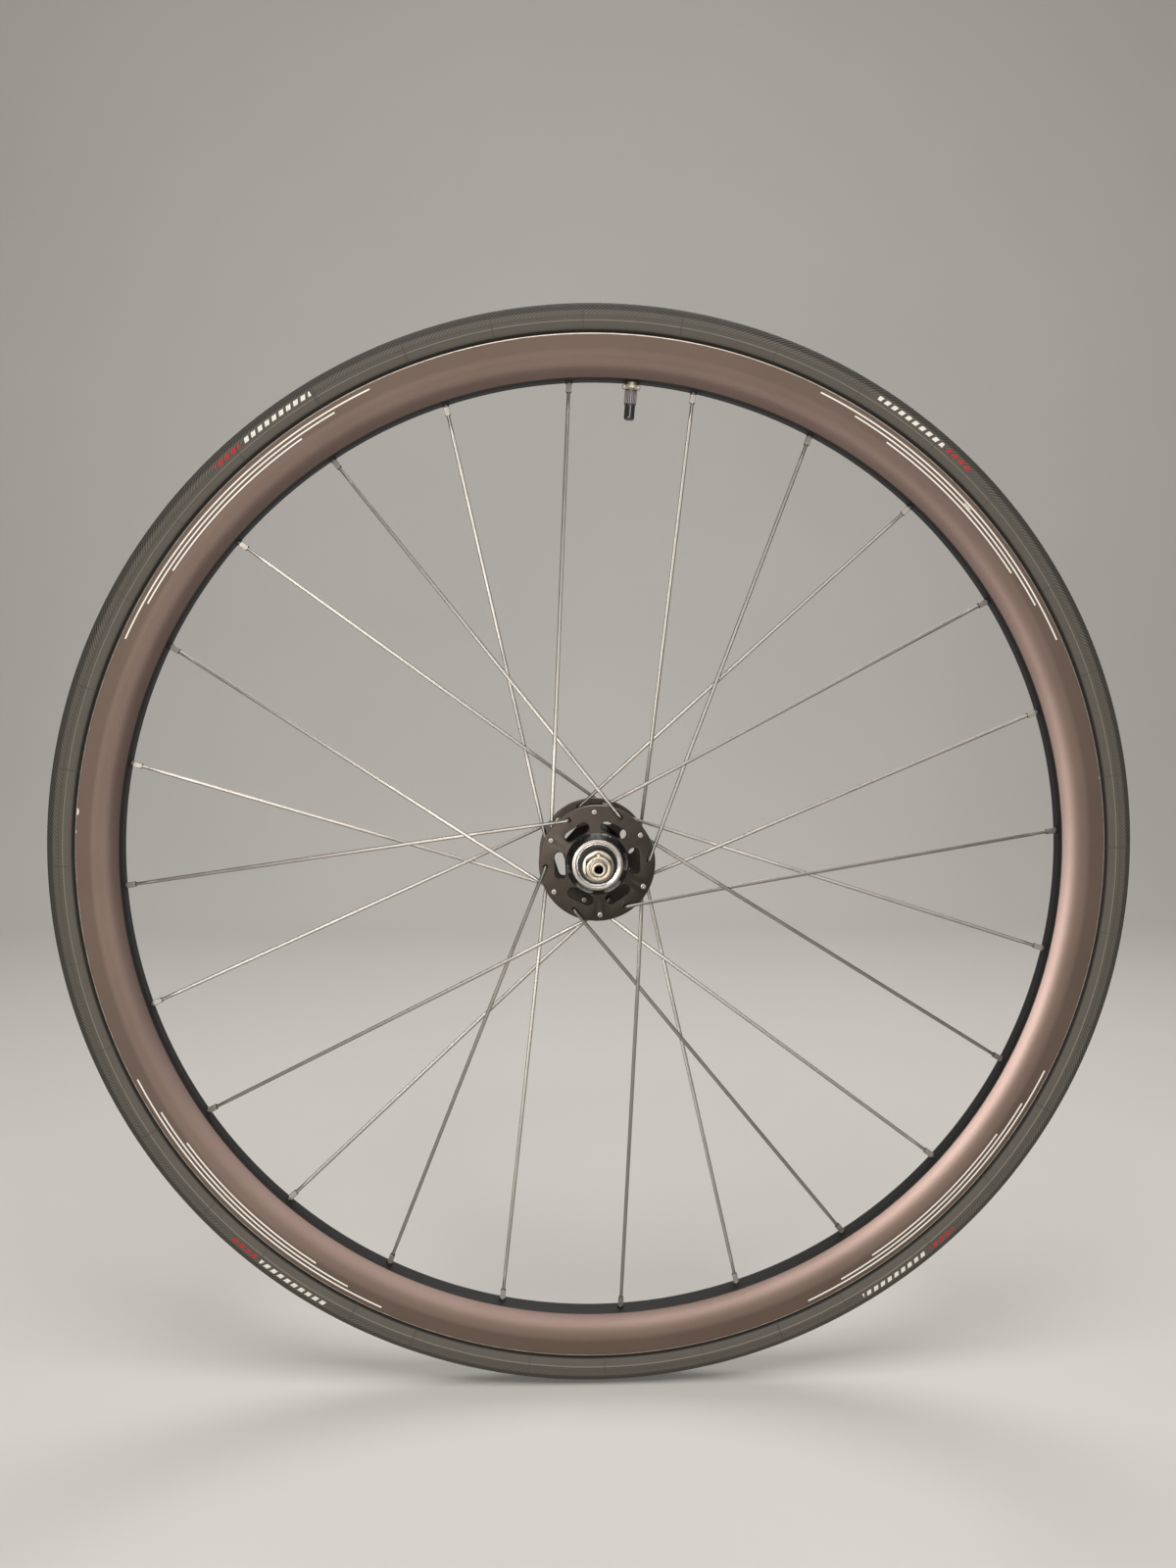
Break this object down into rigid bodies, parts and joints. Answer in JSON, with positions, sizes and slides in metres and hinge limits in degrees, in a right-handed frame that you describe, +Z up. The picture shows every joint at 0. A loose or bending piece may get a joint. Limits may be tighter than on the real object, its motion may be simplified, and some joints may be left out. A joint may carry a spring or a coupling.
{
  "type": "bicycle wheel",
  "caption": "Spoked front road bicycle wheel with a hollow alloy rim, clincher tyre, crossed bladed spokes, a windowed high-flange hub and a hollow axle for a skewer.",
  "frame": {"origin": "centre of the wheel, on the axle's axis half way between the locknuts", "axes": "+Y along the axle away from the side in the picture, +Z up towards the valve, +X right in the picture"},
  "size_m": [0.6739, 0.108, 0.674],
  "materials": {
    "tyre_rubber": "matte black rubber",
    "tube_rubber": "dull black rubber",
    "rim_alloy": "satin dark bronze anodised",
    "tape_plastic": "woven plastic band",
    "spoke_steel": "bright stainless steel",
    "nipple_plating": "bright nickel plate on brass",
    "hub_alloy": "satin black anodised, bright machined ends",
    "seal_rubber": "black bearing seal",
    "bearing_steel": "ground bearing steel",
    "axle_steel": "turned steel",
    "sleeve_alloy": "plain alloy",
    "collar_alloy": "turned bright alloy",
    "locknut_steel": "bright plated steel",
    "valve_metal": "nickel-plated brass",
    "cap_plastic": "dark ribbed plastic"
  },
  "bodies": {
    "axle": {"axle": "axle_steel", "axle_sleeve": "sleeve_alloy", "bearing_inner_ring_left": "bearing_steel", "axle_collar_left": "collar_alloy", "locknut_left": "locknut_steel", "bearing_inner_ring_right": "bearing_steel", "axle_collar_right": "collar_alloy", "locknut_right": "locknut_steel"},
    "wheel": {"bearing_inner_seal_left": "seal_rubber", "bearing_inner_seal_right": "seal_rubber", "bearing_outer_ring_left": "bearing_steel", "bearing_outer_ring_right": "bearing_steel", "bearing_outer_seal_left": "seal_rubber", "bearing_outer_seal_right": "seal_rubber", "hub_shell": "hub_alloy", "inner_tube": "tube_rubber", "nipples": "nipple_plating", "rim": "rim_alloy", "rim_tape": "tape_plastic", "spoke_left_inner_1": "spoke_steel", "spoke_left_inner_2": "spoke_steel", "spoke_left_inner_3": "spoke_steel", "spoke_left_inner_4": "spoke_steel", "spoke_left_inner_5": "spoke_steel", "spoke_left_inner_6": "spoke_steel", "spoke_left_outer_1": "spoke_steel", "spoke_left_outer_2": "spoke_steel", "spoke_left_outer_3": "spoke_steel", "spoke_left_outer_4": "spoke_steel", "spoke_left_outer_5": "spoke_steel", "spoke_left_outer_6": "spoke_steel", "spoke_right_inner_1": "spoke_steel", "spoke_right_inner_2": "spoke_steel", "spoke_right_inner_3": "spoke_steel", "spoke_right_inner_4": "spoke_steel", "spoke_right_inner_5": "spoke_steel", "spoke_right_inner_6": "spoke_steel", "spoke_right_outer_1": "spoke_steel", "spoke_right_outer_2": "spoke_steel", "spoke_right_outer_3": "spoke_steel", "spoke_right_outer_4": "spoke_steel", "spoke_right_outer_5": "spoke_steel", "spoke_right_outer_6": "spoke_steel", "tyre": "tyre_rubber", "valve_core": "valve_metal", "valve_lock_ring": "valve_metal", "valve_stem": "valve_metal"},
    "valve_cap": {"valve_cap": "cap_plastic"}
  },
  "joints": [
    {"name": "wheel_spin", "type": "hinge", "parent": "axle", "child": "wheel", "pos_m": [0, 0, 0], "axis": [0, 1, 0], "continuous": true},
    {"name": "valve_cap_pull", "type": "slide", "parent": "wheel", "child": "valve_cap", "axis": [-0.075, 0, -0.9972], "range_m": [0, 0.02]}
  ]
}
